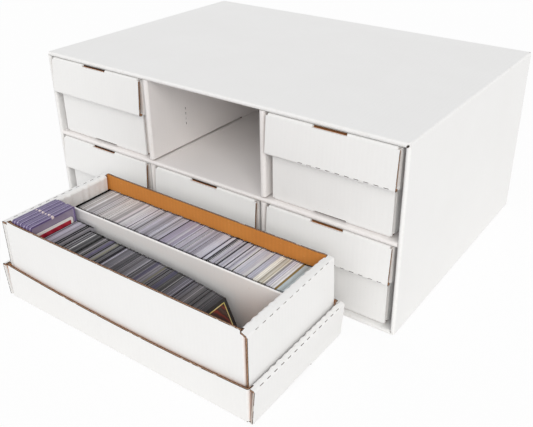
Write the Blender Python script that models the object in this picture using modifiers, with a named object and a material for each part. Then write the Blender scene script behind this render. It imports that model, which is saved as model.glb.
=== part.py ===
# Card storage box: a corrugated board house with six bays, six lidded two-row boxes and a filled open one.
# Metres, +Z up. X runs along the front, +Y goes into the depth, and the origin is under the house's middle.
# Every board piece is one folded sheet: an open skin, which is the white outer liner, thickened inwards.

import math

import bmesh
import bpy
from mathutils import Vector

# Board
board = 0.003              # thickness of the single-wall corrugated board
layer_gap = 0.0003         # air between two layers folded onto each other
fold_slack = 0.0001        # what a fold's outer radius has beyond the board
seat_gap = 0.0003          # clearance where one piece rests on another
flap_gap = 0.0004          # clearance each side of a corner flap's end
fold_steps = 3             # facets in a fold

# Tray of one storage box, and what folds its end walls
row_width = 0.0855         # clear width of one card row
tray_length = 0.414
tray_height = 0.1203
tray_strip_width = 0.013   # sloping top of the tray's roll-over end wall
tray_strip_rise = 0.0046
tab_width = 0.047          # tongue that locks the end wall through the fold below it
tab_play = 0.0005
slot_height = 0.0036       # how far the tongue's slot runs up the end panel
divider_drop = 0.0105      # the row divider's top below the tray's rim
divider_end_play = 0.0012

# Lid
lid_height = 0.054
lid_play = 0.002           # between the tray and the lid's long skirts
lid_end_play = 0.0012
lid_flare = 0.0045         # how far the end panels lean out at the rim
lid_strip_width = 0.0098
lid_strip_rise = 0.001

# House
divider_thickness = 0.009  # folded upright between two bays
side_play = 0.005          # room beside a stowed lid, on average
stow_shift = -0.0015       # the stowed boxes stand a little to the left in their bays
head_room = 0.0039         # above a stowed lid
rim_overhang = 0.005       # how far stowed rims stand before the house's front
back_play = 0.0003
corner_notch = 0.0036      # bare stretch beside each corner, at the hems and the back flaps
side_flap_length = 0.150
seam_gap = 0.0006          # between the two long back flaps
lap_play = 0.0003          # in the half-lap slots of the shelf and the uprights
lap_share = 0.5            # share of the uprights' depth where their slots meet the shelf's
shelf_recess = 0.0003

# Open box on the floor before the house
open_box_x = 0.042         # its middle, to the right of the house's middle
floor_gap = 0.0365         # from the house's front to the upturned lid

# Cards and holders in the open box
card_height = 0.092        # a standard card in its soft sleeve
card_width = 0.0668
card_dip = 0.0022          # how far the lower sleeves stand below the highest
card_wall_gap = 0.0008
row_end_gap = 0.0012
holder_end_gap = 0.0032
content_gap = 0.0006       # between neighbouring groups
rear_bundles = 26
front_bundles = 18
wide_bundles = 4
wide_sleeve_height = 0.0985
wide_sleeve_width = 0.0745
wide_sleeves_length = 0.033
holder_count = 6
holder_height = 0.1205
holder_width = 0.0745
holder_thickness = 0.0056
holder_pitch = 0.0064
holder_corner = 0.004
bordered_height = 0.107
bordered_thickness = 0.0016
free_row_length = 0.0468   # bare floor from the foot of the front stack to the row's end
lean_angle = math.radians(24.0)
front_row_rise = 0.006     # how much higher the front stack stands at its upright end
leaning_thickness = 0.0012

# Sizes that follow
double_board = 2 * board + layer_gap
fold_radius = board + fold_slack
tray_width = 2 * row_width + 3 * board
lid_width = tray_width + 2 * (board + lid_play)
lid_length = tray_length + 2 * (lid_end_play + double_board)
rim_length = lid_length + 2 * lid_flare
bay_width = lid_width + 2 * side_play
bay_pitch = bay_width + divider_thickness
bay_height = tray_height + 2 * seat_gap + board + head_room
house_width = 3 * bay_width + 2 * divider_thickness + 2 * double_board
house_depth = rim_length - rim_overhang + back_play + double_board
house_height = 2 * bay_height + 3 * double_board
house_front = -house_depth / 2
house_back = house_depth / 2
inner_notch = double_board + seat_gap
hem_end = house_back - double_board - seat_gap
upper_floor = 2 * double_board + bay_height
lower_floor = double_board
lap_y = house_front + lap_share * (hem_end - house_front)
stowed_y = house_front - rim_overhang + rim_length / 2
open_y = house_front - floor_gap - lid_width / 2
open_tray_z = board + seat_gap

white = (0.90, 0.895, 0.885)
inner_white = (0.86, 0.855, 0.85)
grey_sleeve = (0.60, 0.58, 0.61)
dark_sleeve = (0.13, 0.125, 0.15)
violet = (0.27, 0.22, 0.42)
label_red = (0.55, 0.03, 0.07)
black_border = (0.04, 0.035, 0.04)


def new_collection(name):
    collection = bpy.data.collections.new(name)
    bpy.context.scene.collection.children.link(collection)
    return collection


def paper_material(name, colour, roughness):
    material = bpy.data.materials.new(name)
    material.use_nodes = True
    shader = material.node_tree.nodes["Principled BSDF"]
    shader.inputs["Base Color"].default_value = (*colour, 1)
    shader.inputs["Roughness"].default_value = roughness
    shader.inputs["Metallic"].default_value = 0
    return material


def rounded(points, radius):
    # The same flat path with every inner corner turned into an arc
    path = [Vector(points[0])]
    for before, corner, after in zip(points, points[1:], points[2:]):
        corner = Vector(corner)
        into = (corner - Vector(before)).normalized()
        onward = (Vector(after) - corner).normalized()
        side = 1 if into.x * onward.y > into.y * onward.x else -1
        turn = into.angle(onward)
        start = corner - into * radius * math.tan(turn / 2)
        to_centre = Vector((-into.y, into.x)) * side * radius
        centre = start + to_centre
        for step in range(fold_steps + 1):
            angle = side * turn * step / fold_steps
            spoke = -to_centre
            path.append(centre + Vector((
                spoke.x * math.cos(angle) - spoke.y * math.sin(angle),
                spoke.x * math.sin(angle) + spoke.y * math.cos(angle))))
    path.append(Vector(points[-1]))
    return path


def between(low, high, share):
    return low + (high - low) * share


class Skin:
    # Faces of one sheet's white side, joined where their corners meet
    def __init__(self):
        self.mesh = bmesh.new()

    def face(self, points):
        self.mesh.faces.new([self.mesh.verts.new(point) for point in points])

    def grid(self, rows, skip=()):
        # rows of points, with the cells named in skip left open as (row, column)
        for row, (near, far) in enumerate(zip(rows, rows[1:])):
            for column in range(len(near) - 1):
                if (row, column) not in skip:
                    self.face([near[column], near[column + 1], far[column + 1], far[column]])

    def finished(self, name, down_point):
        # One sheet, facing away from its inside: the face nearest down_point looks down
        bmesh.ops.remove_doubles(self.mesh, verts=self.mesh.verts, dist=layer_gap / 10)
        bmesh.ops.recalc_face_normals(self.mesh, faces=self.mesh.faces)
        nearness = {face: (face.calc_center_median() - Vector(down_point)).length for face in self.mesh.faces}
        lowest = min(nearness, key=nearness.get)
        if lowest.normal.z > 0:
            bmesh.ops.reverse_faces(self.mesh, faces=self.mesh.faces)
        data = bpy.data.meshes.new(name)
        self.mesh.to_mesh(data)
        self.mesh.free()
        return data


def place(data, name, collection, material, location=(0, 0, 0), rotation=(0, 0, 0)):
    piece = bpy.data.objects.new(name, data)
    if not data.materials:
        data.materials.append(material)
    piece.location = location
    piece.rotation_euler = rotation
    collection.objects.link(piece)
    return piece


def thicken(piece):
    solidify = piece.modifiers.new("board", "SOLIDIFY")
    solidify.thickness = board
    solidify.offset = -1
    solidify.use_even_offset = True
    solidify.use_rim = True


def end_outline(length, height, flare, strip_width, strip_rise):
    # Outer corners of a roll-over end wall: the panel outside, the sloping strip and the panel inside
    half = length / 2
    crease = half + flare - strip_width
    return {
        "foot": Vector((half, 0)),
        "outer": Vector((half + flare, height - strip_rise)),
        "inner": Vector((crease, height)),
        "seat": Vector((half - double_board, board + seat_gap)),
    }


def roll_end_box(name, length, width, height, flare, strip_width, strip_rise):
    # A tray or a lid, standing on its base panel, with its length along X
    skin = Skin()
    half_width = width / 2
    corner = end_outline(length, height, flare, strip_width, strip_rise)
    path = rounded([(0, 0), *corner.values()], fold_radius)[1:]
    fold, outer_arc = path[:fold_steps + 1], path[fold_steps + 1:2 * fold_steps + 2]
    inner_arc = path[2 * fold_steps + 2:3 * fold_steps + 3]
    seat = corner["seat"]
    slot_top = fold[-1].lerp(outer_arc[0], (slot_height - fold[-1].y) / (outer_arc[0].y - fold[-1].y))
    panel_half = half_width - 2 * (board + flap_gap)
    tab_half = tab_width / 2
    base_end = fold[0].x
    slot_start = seat.x - tab_play
    base_half = half_width - fold_radius
    flap_x = length / 2 - board - layer_gap
    wall_end = flap_x - fold_radius

    quarter = [(wall_end, -base_half), (base_end, -base_half), (base_end, -tab_half), (slot_start, -tab_half)]
    half_base = quarter + [(x, -y) for x, y in reversed(quarter)]
    skin.face([(x, y, 0) for x, y in half_base + [(-x, -y) for x, y in half_base]])
    for side in (-1, 1):
        wall_fold = rounded([(0, 0), (half_width, 0), (half_width, height)], fold_radius)[1:-1]
        skin.grid([[(x, side * point.x, point.y) for point in wall_fold] for x in (-wall_end, wall_end)])
        add_side_wall(skin, side, half_width, panel_half, height, wall_fold[-1].y, seat.y,
                      flap_x, strip_underside(inner_arc[0], strip_width, strip_rise))

    for end in (-1, 1):
        for side in (-1, 1):
            skin.grid([[(end * point.x, side * y, point.y) for y in (tab_half, base_half)] for point in fold])
        half_panel = [(tab_half, slot_top), (tab_half, fold[-1]), (base_half, fold[-1]),
                      (half_width, fold[-1]), (half_width, outer_arc[0])]
        panel = half_panel + [(-y, point) for y, point in reversed(half_panel)]
        skin.face([(end * point.x, y, point.y) for y, point in panel])
        skin.grid([[(end * point.x, y, point.y) for y in (-half_width, half_width)] for point in outer_arc])
        strip = [(-half_width, outer_arc[-1]), (half_width, outer_arc[-1]), (half_width, inner_arc[0]),
                 (panel_half, inner_arc[0]), (-panel_half, inner_arc[0]), (-half_width, inner_arc[0])]
        skin.face([(end * point.x, y, point.y) for y, point in strip])
        skin.grid([[(end * point.x, y, point.y) for y in (-panel_half, panel_half)] for point in inner_arc])
        skin.face([(end * inner_arc[-1].x, -panel_half, inner_arc[-1].y),
                   (end * inner_arc[-1].x, panel_half, inner_arc[-1].y),
                   *((end * seat.x, y, seat.y) for y in (panel_half, tab_half, -tab_half, -panel_half))])
        skin.face([(end * seat.x, tab_half, seat.y), (end * seat.x, -tab_half, seat.y),
                   (end * seat.x, -tab_half, seat_gap), (end * seat.x, tab_half, seat_gap)])
    return skin.finished(name, (0, 0, 0))


def strip_underside(strip_start, strip_width, strip_rise):
    # Where the air under an end wall's strip begins, beside the inner panel, and how steeply it falls
    normal = Vector((strip_rise, strip_width)).normalized()
    return strip_start - normal * (board + layer_gap), strip_rise / strip_width


def add_side_wall(skin, side, half_width, panel_half, height, foot, flap_foot, flap_x, underside):
    # A long wall, and the short flaps that its ends turn in, one behind each end's outer panel
    wall_end = flap_x - fold_radius
    under, slope = underside
    is_tucked = under.x - layer_gap < flap_x

    def top(x):
        return under.y - slope * (max(x, under.x) - under.x) if is_tucked else height

    full_height_end = min(under.x - layer_gap, wall_end) if is_tucked else wall_end
    half_wall = [(wall_end, foot), (wall_end, flap_foot), (wall_end, top(wall_end))]
    if is_tucked:
        if full_height_end < wall_end:
            half_wall.append((full_height_end, top(full_height_end)))
        half_wall.append((full_height_end, height))
    wall = half_wall + [(-x, z) for x, z in reversed(half_wall)]
    skin.face([(x, side * half_width, z) for x, z in wall])

    bend = rounded([(0, half_width), (flap_x, half_width), (flap_x, panel_half + flap_gap)], fold_radius)[1:]
    for end in (-1, 1):
        skin.grid([[(end * point.x, side * point.y, z) for z in (flap_foot, top(point.x))] for point in bend])


def flat_outline(name, points, thickness, collection, material, location, rotation):
    # An upright plate cut from flat stock
    curve = bpy.data.curves.new(name, "CURVE")
    curve.dimensions = "2D"
    curve.fill_mode = "BOTH"
    curve.extrude = thickness / 2
    spline = curve.splines.new("POLY")
    spline.points.add(len(points) - 1)
    for point, (x, y) in zip(spline.points, points):
        point.co = (x, y, 0, 1)
    spline.use_cyclic_u = True
    return place(curve, name, collection, material, location, rotation)


def row_end(height_in_tray):
    # Where the tray's sloping inner end panel stands at one height above the tray's underside
    corner = end_outline(tray_length, tray_height, 0, tray_strip_width, tray_strip_rise)
    share = (height_in_tray - corner["seat"].y) / (corner["inner"].y - corner["seat"].y)
    return between(corner["seat"].x, corner["inner"].x, share)


def row_divider_points():
    low = board + seat_gap
    high = tray_height - divider_drop
    foot = row_end(low) - divider_end_play
    head = row_end(high) - divider_end_play
    return [(-foot, low), (foot, low), (head, high), (-head, high)]


def add_box(name, collection, paper, tray_data, lid_data, tray_place, lid_place, turn):
    thicken(place(tray_data, name + "_tray", collection, paper, tray_place, (0, 0, turn)))
    flat_outline(name + "_row_divider", row_divider_points(), board, collection, paper,
                 tray_place, (math.pi / 2, 0, turn))
    thicken(place(lid_data, name + "_lid", collection, paper, *lid_place))


def house_shell(collection, paper):
    # One sleeve with a rolled hem on each front edge, lining the walls, and four flaps closing the back
    skin = Skin()
    side_fold_start = house_back - board - layer_gap - fold_radius
    long_fold_start = house_back - fold_radius
    front_start = house_front + fold_radius
    half_width, half_height = house_width / 2, house_height / 2
    halves = {"top": half_width, "bottom": half_width, "left": half_height, "right": half_height}

    def spot(panel, along, y, depth):
        # A point of one panel: along it from its middle, into the house, and inwards from its outer face
        if panel == "top":
            return (along, y, house_height - depth)
        if panel == "bottom":
            return (along, y, depth)
        x = half_width - depth
        return (x if panel == "right" else -x, y, half_height + along)

    hem = rounded([(hem_end, 0), (house_front, 0), (house_front, double_board), (hem_end, double_board)],
                  fold_radius)[1:]
    for panel, half in halves.items():
        flat = half - fold_radius
        cut = half - corner_notch
        columns = [-flat, -cut, cut, flat]
        is_long = panel in ("top", "bottom")
        depths = [front_start, side_fold_start] + ([long_fold_start] if is_long else [])
        skin.grid([[spot(panel, along, y, 0) for along in columns] for y in depths])

        rows = []
        for point in hem:
            reach = between(cut, half - inner_notch, min(point.y / double_board, 1))
            rows.append([spot(panel, -reach, point.x, point.y), spot(panel, reach, point.x, point.y)])
        skin.grid(rows)

        if is_long:
            back = rounded([(front_start, 0), (house_back, 0), (house_back, half_height - seam_gap / 2)],
                           fold_radius)[1:]
            skin.grid([[spot(panel, along, point.x, point.y) for along in columns] for point in back])
        else:
            flap_face = side_fold_start + fold_radius
            back = rounded([(front_start, 0), (flap_face, 0), (flap_face, side_flap_length)], fold_radius)[1:]
            skin.grid([[spot(panel, along, point.x, point.y) for along in columns[1:3]] for point in back])

    for side in (-1, 1):
        for edge in (0, house_height):
            lift = fold_radius if edge == 0 else -fold_radius
            outer = side * half_width
            bend = rounded([(0, edge), (outer, edge), (outer, edge + 2 * lift)], fold_radius)[1:-1]
            skin.grid([[(point.x, y, point.y) for point in bend] for y in (front_start, side_fold_start)])
    thicken(place(skin.finished("house_shell", (0, 0, 0)), "house_shell", collection, paper))


def upright(name, centre_x, collection, paper):
    # A board folded round its front edge, slotted from the front for the shelf
    skin = Skin()
    half = divider_thickness / 2
    slot_end = lap_y + lap_play
    plan = rounded([(centre_x - half, slot_end), (centre_x - half, house_front + shelf_recess),
                    (centre_x + half, house_front + shelf_recess), (centre_x + half, slot_end)],
                   half - fold_slack)
    plan = [Vector((centre_x - half, hem_end)), *plan, Vector((centre_x + half, hem_end))]
    low = double_board + seat_gap
    high = house_height - double_board - seat_gap
    levels = [low, lower_floor + bay_height - lap_play, upper_floor + lap_play, high]
    slot = {(row, 1) for row in range(1, len(plan) - 2)}
    skin.grid([[(point.x, point.y, z) for z in levels] for point in plan], skip=slot)
    data = skin.finished(name, (centre_x, house_back, house_height))
    outward = data.polygons[0].normal
    if outward.x * (data.polygons[0].center.x - centre_x) < 0:
        data.flip_normals()
    thicken(place(data, name, collection, paper))


def shelf(collection, paper):
    # A board folded round its front edge, slotted from the back for the uprights
    skin = Skin()
    reach = house_width / 2 - double_board - seat_gap
    half_slot = divider_thickness / 2 + lap_play
    slots = [-bay_pitch / 2, bay_pitch / 2]
    columns = [-reach, *(x + side * half_slot for x in slots for side in (-1, 1)), reach]
    slot_start = lap_y - lap_play
    low = upper_floor - double_board
    front = house_front + shelf_recess
    corners = [(slot_start, upper_floor), (front, upper_floor), (front, low), (slot_start, low)]
    path = rounded(corners, fold_radius)
    path = [Vector((hem_end, upper_floor)), *path, Vector((hem_end, low))]
    open_cells = {(row, column) for row in (0, len(path) - 2) for column in (1, 3)}
    skin.grid([[(x, point.x, point.y) for x in columns] for point in path], skip=open_cells)
    thicken(place(skin.finished("shelf", (0, house_front, low)), "shelf", collection, paper))


def bundle_outline(start, end, height, bundles, lean=0, rise=0):
    # A row of sleeved cards from the side: its top steps from bundle to bundle, and it leans ever more.
    # It starts higher by the rise.
    top = []
    for bundle in range(bundles):
        dip = card_dip * (0.5 + 0.5 * math.sin(2.1 * bundle * bundle + bundle))
        for edge in (bundle, bundle + 1):
            share = edge / bundles
            tilt = lean * share * share
            foot = between(start, end, share)
            reach = height + rise * (1 - share)
            top.append((foot - reach * math.sin(tilt), reach * math.cos(tilt) - dip * math.cos(lean)))
    top[-1] = (end - height * math.sin(lean), height * math.cos(lean))
    return [(start, 0), (end, 0), *reversed(top)]


def arched_outline(width, height, corner):
    # A holder seen from its face, with rounded upper corners
    half = width / 2
    arch = rounded([(half, 0), (half, height), (-half, height), (-half, 0)], corner)
    return [(point.x, point.y) for point in arch]


def fill_open_box(collection):
    # Cards stand across the rows, so their faces look along X
    floor = open_tray_z + board + seat_gap
    side_on = (math.pi / 2, 0, 0)
    face_on = (math.pi / 2, 0, math.pi / 2)
    far_wall = open_y + tray_width / 2 - board - card_wall_gap
    near_wall = open_y - tray_width / 2 + board + card_wall_gap
    grey = paper_material("grey_sleeves", grey_sleeve, 0.35)
    dark = paper_material("dark_sleeves", dark_sleeve, 0.3)
    purple = paper_material("violet_plastic", violet, 0.2)
    red = paper_material("red_label", label_red, 0.4)
    edged = paper_material("black_border", black_border, 0.3)

    def side_on_plate(name, points, width, material, middle_y):
        flat_outline(name, points, width, collection, material, (open_box_x, middle_y, floor), side_on)

    def face_on_plate(name, x, thickness, width, height, material):
        place_at = (open_box_x + x + thickness / 2, near_wall + width / 2, floor)
        flat_outline(name, arched_outline(width, height, holder_corner), thickness, collection, material,
                     place_at, face_on)

    rear_end = row_end(card_height + 2 * seat_gap + board) - row_end_gap
    rear = bundle_outline(-rear_end, rear_end, card_height, rear_bundles)
    side_on_plate("rear_cards", rear, card_width, grey, far_wall - card_width / 2)

    x = holder_end_gap - row_end(tray_height)
    for number in range(holder_count):
        face_on_plate(f"card_holder_{number + 1}", x, holder_thickness, holder_width, holder_height, purple)
        x += holder_pitch
    face_on_plate("bordered_card", x, bordered_thickness, card_width, bordered_height, red)
    x += bordered_thickness + content_gap
    wide = bundle_outline(x, x + wide_sleeves_length, wide_sleeve_height, wide_bundles)
    side_on_plate("wide_sleeves", wide, wide_sleeve_width, grey, near_wall + wide_sleeve_width / 2)
    x += wide_sleeves_length + content_gap

    foot = row_end(board + seat_gap) - free_row_length
    front = bundle_outline(x, foot, card_height, front_bundles, lean_angle, front_row_rise)
    side_on_plate("front_cards", front, card_width, dark, near_wall + card_width / 2)
    along = Vector((-math.sin(lean_angle), math.cos(lean_angle))) * card_height
    across = Vector((1, 0)) / math.cos(lean_angle)
    corner = Vector((foot, 0)) + across * content_gap
    outline = [corner, corner + across * leaning_thickness]
    outline += [outline[1] + along, corner + along]
    side_on_plate("leaning_card", outline, card_width, edged, near_wall + card_width / 2)


def build():
    for piece in list(bpy.data.objects):
        bpy.data.objects.remove(piece, do_unlink=True)
    collection = new_collection("card_storage_box")
    paper = paper_material("white_board", white, 0.6)
    inside = paper_material("upright_board", inner_white, 0.6)

    house_shell(collection, paper)
    shelf(collection, inside)
    upright("left_upright", -bay_pitch / 2, collection, inside)
    upright("right_upright", bay_pitch / 2, collection, inside)

    tray_data = roll_end_box("tray", tray_length, tray_width, tray_height, 0,
                             tray_strip_width, tray_strip_rise)
    lid_data = roll_end_box("lid", lid_length, lid_width, lid_height, lid_flare,
                            lid_strip_width, lid_strip_rise)
    bays = {
        "upper_left": (-bay_pitch, upper_floor),
        "upper_right": (bay_pitch, upper_floor),
        "lower_left": (-bay_pitch, lower_floor),
        "lower_centre": (0, lower_floor),
        "lower_right": (bay_pitch, lower_floor),
    }
    for name, (x, floor) in bays.items():
        tray_z = floor + seat_gap
        lid_top = tray_z + tray_height + seat_gap + board
        box_x = x + stow_shift
        add_box(name, collection, paper, tray_data, lid_data, (box_x, stowed_y, tray_z),
                ((box_x, stowed_y, lid_top), (math.pi, 0, math.pi / 2)), math.pi / 2)
    add_box("open", collection, paper, tray_data, lid_data, (open_box_x, open_y, open_tray_z),
            ((open_box_x, open_y, 0), (0, 0, 0)), 0)
    fill_open_box(collection)


build()
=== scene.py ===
import math
import random

import bmesh
import bpy
from mathutils import Matrix, Vector


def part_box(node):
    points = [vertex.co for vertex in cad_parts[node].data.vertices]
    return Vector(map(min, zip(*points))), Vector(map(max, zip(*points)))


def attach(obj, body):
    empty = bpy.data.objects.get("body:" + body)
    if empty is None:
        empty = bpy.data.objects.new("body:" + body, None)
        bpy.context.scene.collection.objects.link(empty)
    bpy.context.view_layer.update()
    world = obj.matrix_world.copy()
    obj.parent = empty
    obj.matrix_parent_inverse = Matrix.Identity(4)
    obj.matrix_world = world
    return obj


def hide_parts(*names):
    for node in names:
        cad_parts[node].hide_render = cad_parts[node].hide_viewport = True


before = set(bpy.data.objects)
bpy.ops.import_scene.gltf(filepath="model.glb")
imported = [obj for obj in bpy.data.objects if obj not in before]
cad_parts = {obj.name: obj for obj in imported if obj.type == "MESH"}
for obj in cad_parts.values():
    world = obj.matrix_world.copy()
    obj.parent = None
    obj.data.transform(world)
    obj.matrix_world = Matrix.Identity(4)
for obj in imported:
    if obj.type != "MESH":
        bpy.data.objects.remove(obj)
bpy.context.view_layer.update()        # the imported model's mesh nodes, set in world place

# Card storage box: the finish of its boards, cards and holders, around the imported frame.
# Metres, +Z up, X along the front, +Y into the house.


def mathStep(operation, turned=False):
    # A method of Wire; turned puts the other value first
    def step(wire, other=0):
        return wire.sum(operation, other, wire) if turned else wire.sum(operation, wire, other)
    return step


class Wire:
    # One output of a node; a sum with it adds a Math node
    def __init__(self, finish, socket):
        self.finish = finish
        self.socket = socket

    def sum(self, operation, first, second):
        return self.finish.add("ShaderNodeMath", {"operation": operation}, {0: first, 1: second})

    __add__ = mathStep("ADD")
    __radd__ = mathStep("ADD", True)
    __sub__ = mathStep("SUBTRACT")
    __rsub__ = mathStep("SUBTRACT", True)
    __mul__ = mathStep("MULTIPLY")
    __rmul__ = mathStep("MULTIPLY", True)
    __gt__ = mathStep("GREATER_THAN")
    __lt__ = mathStep("LESS_THAN")
    __abs__ = mathStep("ABSOLUTE")
    sine = mathStep("SINE")


class NodeTree:
    # The nodes of a world or a material
    def __init__(self, owner):
        owner.use_nodes = True
        self.nodes = owner.node_tree.nodes
        self.links = owner.node_tree.links

    def put(self, socket, value):
        if isinstance(value, Wire):
            self.links.new(value.socket, socket)
        else:
            socket.default_value = value

    def add(self, kind, settings=None, sockets=None, output=0):
        node = self.nodes.new(kind)
        for name, value in (settings or {}).items():
            if name == "stops":
                ramp = node.color_ramp.elements
                while len(ramp) < len(value):
                    ramp.new(1)
                for element, (position, colour) in zip(ramp, value):
                    element.position = position
                    element.color = colour
            else:
                setattr(node, name, value)
        for name, value in (sockets or {}).items():
            self.put(node.inputs[name], value)
        return Wire(self, node.outputs[output])

    def mix(self, factor, first, second):
        # sockets 6 and 7 and output 2 are the ones for colours
        return self.add("ShaderNodeMix", {"data_type": "RGBA"}, {0: factor, 6: first, 7: second}, 2)

    def tinted(self, colour, factor):
        # The colour times a grey value that changes over the surface
        grey = self.add("ShaderNodeCombineXYZ", None, {0: factor, 1: factor, 2: factor})
        return self.add("ShaderNodeVectorMath", {"operation": "MULTIPLY"}, {0: colour, 1: grey})


class Finish(NodeTree):
    # One material: its Principled shader, the place on the object and the nodes behind them
    def __init__(self, name):
        self.material = bpy.data.materials.new(name)
        super().__init__(self.material)
        self.shader = self.nodes["Principled BSDF"]
        self.where = self.add("ShaderNodeTexCoord", output="Object")

    def noise(self, scale, detail=2, roughness=0.5, stretch=(1, 1, 1)):
        where = self.where
        if stretch != (1, 1, 1):
            where = self.add("ShaderNodeVectorMath", {"operation": "MULTIPLY"}, {0: where, 1: stretch})
        return self.add("ShaderNodeTexNoise", None,
                        {"Vector": where, "Scale": scale, "Detail": detail, "Roughness": roughness})

    def parts(self, vector):
        return [self.add("ShaderNodeSeparateXYZ", None, {0: vector}, index) for index in range(3)]

    def attribute(self, name, output):
        return self.add("ShaderNodeAttribute", {"attribute_name": name}, None, output)

    def shade(self, colour, roughness, height, others):
        # height is the relief in metres; others are more sockets of the shader by name
        relief = self.add("ShaderNodeBump", None, {"Height": height, "Distance": 1})
        sockets = {"Base Color": colour, "Roughness": roughness, "Normal": relief, **others}
        for name, value in sockets.items():
            self.put(self.shader.inputs[name], value)
        return self.material


fluteSpec = {
    "pitch": 0.0062,
    "wallNormal": 0.7,        # side walls are the faces whose normals have more of X than this
}


def fluteWave(along):
    return (along * (2 * math.pi / fluteSpec["pitch"])).sine()


def flutes(finish):
    # Flutes run upright in walls and along Y in flat panels
    x, y = finish.parts(finish.where)[:2]
    normalX = finish.parts(finish.add("ShaderNodeTexCoord", output="Normal"))[0]
    facesX = abs(normalX) > fluteSpec["wallNormal"]
    return fluteWave(x + facesX * (y - x))


whiteBoardSpec = {
    "paper": (0.885, 0.882, 0.875, 1),
    "shaded": (0.845, 0.838, 0.828, 1),
    "crackedFold": (0.78, 0.755, 0.72, 1),
    "speck": (0.62, 0.53, 0.42, 1),
    "mottle": (11, 4, 0.6),          # a noise, here and below: scale, detail, roughness and stretch
    "fibre": (620, 3, 0.7),
    "specks": (330, 1),
    "speckAbove": 0.79,
    "speckClouds": (37, 1),
    "cloudAbove": 0.5,
    "speckShare": 0.35,
    "cracks": (180, 4, 0.75),
    "crackAbove": 0.56,
    "crackShare": 0.3,
    "fluteDepth": 0.00003,
    "fibreDepth": 0.00002,
    "fluteTint": 0.003,
    "fibreTint": 0.02,
    "darkest": 0.985,
    "roughness": 0.62,
    "mottleRoughness": 0.08,
    "foldGloss": 0.05,
    "others": {"Specular IOR Level": 0.35},
}


def whiteBoard(name, spec):
    finish = Finish(name)
    mottle = finish.noise(*spec["mottle"])
    fibre = finish.noise(*spec["fibre"])
    cloudy = finish.noise(*spec["speckClouds"]) > spec["cloudAbove"]
    speck = (finish.noise(*spec["specks"]) > spec["speckAbove"]) * cloudy
    flute = flutes(finish)
    fold = finish.attribute("fold", "Fac")
    crack = fold * (finish.noise(*spec["cracks"]) > spec["crackAbove"])
    colour = finish.mix(mottle, spec["shaded"], spec["paper"])
    colour = finish.tinted(colour, spec["darkest"] + fibre * spec["fibreTint"] + flute * spec["fluteTint"])
    colour = finish.mix(speck * spec["speckShare"], colour, spec["speck"])
    colour = finish.mix(crack * spec["crackShare"], colour, spec["crackedFold"])
    roughness = spec["roughness"] + mottle * spec["mottleRoughness"] - fold * spec["foldGloss"]
    height = flute * spec["fluteDepth"] + fibre * spec["fibreDepth"]
    return finish.shade(colour, roughness, height, spec["others"])


kraftSpec = {
    "light": (0.74, 0.30, 0.066, 1),
    "dark": (0.57, 0.205, 0.042, 1),
    "fibre": (0.80, 0.42, 0.16, 1),
    # the painted shade over a tab's kraft deep in its slot
    "tucked": (0.045, 0.020, 0.011, 1),
    "mottle": (16, 5, 0.65),
    "strand": (1, 3, 0.6, (140, 700, 240)),
    "strandAbove": 0.66,
    "strandShare": 0.25,
    "strandTint": 0.05,
    "strandDepth": 0.00002,
    "strandRoughness": 0.1,
    "fluteTint": 0.02,
    "darkest": 0.97,
    "fluteDepth": 0.00005,
    "roughness": 0.75,
    "others": {"Specular IOR Level": 0.25},
}


def kraftLiner(spec):
    finish = Finish("kraftLiner")
    mottle = finish.noise(*spec["mottle"])
    strand = finish.noise(*spec["strand"])
    flute = flutes(finish)
    colour = finish.mix(mottle, spec["dark"], spec["light"])
    colour = finish.mix((strand > spec["strandAbove"]) * spec["strandShare"], colour, spec["fibre"])
    colour = finish.tinted(colour, spec["darkest"] + flute * spec["fluteTint"] + strand * spec["strandTint"])
    # tabs in their slots: a painted shade over the kraft
    colour = finish.mix(finish.attribute("tucked", "Fac"), colour, spec["tucked"])
    roughness = spec["roughness"] + strand * spec["strandRoughness"]
    height = flute * spec["fluteDepth"] + strand * spec["strandDepth"]
    return finish.shade(colour, roughness, height, spec["others"])


rawEdgeSpec = {
    "outerLiner": (0.035, 0.014, 0.009, 1),
    "innerLiner": (0.13, 0.058, 0.031, 1),
    "medium": (0.52, 0.33, 0.21, 1),
    "hollowShade": (0.20, 0.10, 0.055, 1),
    "crushed": (0.80, 0.79, 0.77, 1),
    "rough": (260, 2, 0.6),
    "nick": (95, 2, 0.6),
    "nickAbove": 0.62,
    "nickShare": 0.7,
    "waveShare": 0.16,
    "paperShare": 0.16,
    "paperPlay": 0.12,        # how far the noise shifts the borders between the layers
    "outerShare": 0.30,
    "outerPlay": 0.10,
    "innerShare": 0.72,
    "innerPlay": 0.08,
    "tints": (0.75, 0.5),
    "mediumHeight": 0.7,
    "depth": 0.0003,
    "roughness": 0.85,
    "others": {"Specular IOR Level": 0.2},
}


def rawEdge(spec):
    # The cut edge of the board: two liners and the fluted sheet between them, with a painted shade in the
    # hollows between the flutes
    finish = Finish("rawEdge")
    along, across = finish.parts(finish.add("ShaderNodeUVMap", {"uv_map": "edgeMap"}))[:2]
    rough = finish.noise(*spec["rough"])
    offset = rough - 0.5
    nick = finish.noise(*spec["nick"]) > spec["nickAbove"]
    wave = 0.5 + fluteWave(along) * spec["waveShare"]
    medium = abs(across - wave + offset * spec["paperPlay"]) < spec["paperShare"]
    outer = across < (spec["outerShare"] + offset * spec["outerPlay"])
    crushed = finish.attribute("crushed", "Fac") * (across > spec["outerShare"])
    inner = across > (spec["innerShare"] + offset * spec["innerPlay"])
    darkest, spread = spec["tints"]
    # the hollows between the flutes get a painted shade
    colour = finish.mix(medium, spec["hollowShade"], spec["medium"])
    colour = finish.mix(inner, colour, spec["innerLiner"])
    colour = finish.mix(outer, colour, spec["outerLiner"])
    colour = finish.tinted(colour, darkest + rough * spread)
    colour = finish.mix(crushed + nick * outer * spec["nickShare"], colour, spec["crushed"])
    height = (medium * spec["mediumHeight"] + inner + outer) * spec["depth"]
    return finish.shade(colour, spec["roughness"], height, spec["others"])


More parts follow.
